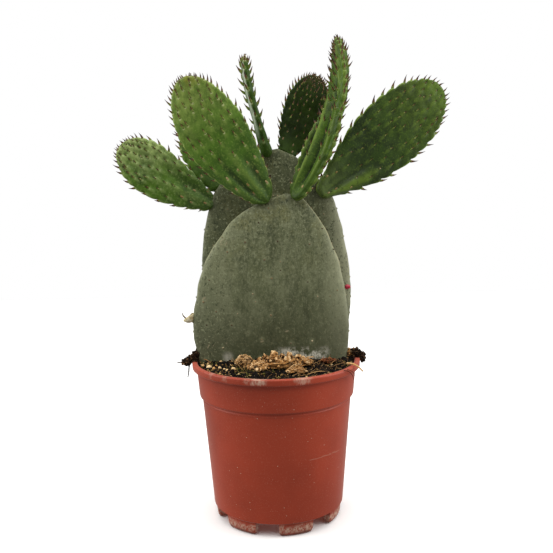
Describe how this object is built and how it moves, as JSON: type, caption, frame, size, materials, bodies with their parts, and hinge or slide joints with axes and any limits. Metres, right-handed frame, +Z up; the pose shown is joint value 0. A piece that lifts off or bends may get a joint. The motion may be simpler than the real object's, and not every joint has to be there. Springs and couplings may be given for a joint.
{
  "type": "potted paddle cactus",
  "caption": "Prickly-pear cactus of broad old pads and leafy young pads, standing in peat in a small moulded nursery pot with feet.",
  "frame": {"origin": "on the ground under the middle of the whole plant's box; the pot's axis is parallel to Z and 11 mm towards -X from it", "axes": "+Z up; -Y is the front, the way the front old pad's broad face looks; +X to the right seen from the front"},
  "size_m": [0.306, 0.15, 0.4221],
  "materials": {
    "pot_plastic": "satin",
    "peat": "matte",
    "old_pad_skin": "matte",
    "young_pad_skin": "satin",
    "bark": "matte",
    "straw": "matte",
    "dry_bud": "matte",
    "red_bud": "satin"
  },
  "bodies": {
    "root": {"pot": "pot_plastic", "soil": "peat", "mother_pad_front": "old_pad_skin", "mother_pad_back": "old_pad_skin", "young_pad_left": "young_pad_skin", "young_pad_big_left": "young_pad_skin", "young_pad_hidden": "young_pad_skin", "young_pad_thin": "young_pad_skin", "young_pad_back": "young_pad_skin", "young_pad_tall": "young_pad_skin", "young_pad_right": "young_pad_skin", "bark_lump_main": "bark", "bark_lump_left": "bark", "bark_chip": "bark", "peat_clod_left": "peat", "peat_clod_right": "peat", "straw": "straw", "withered_bud": "dry_bud", "red_bud": "red_bud"}
  },
  "joints": []
}
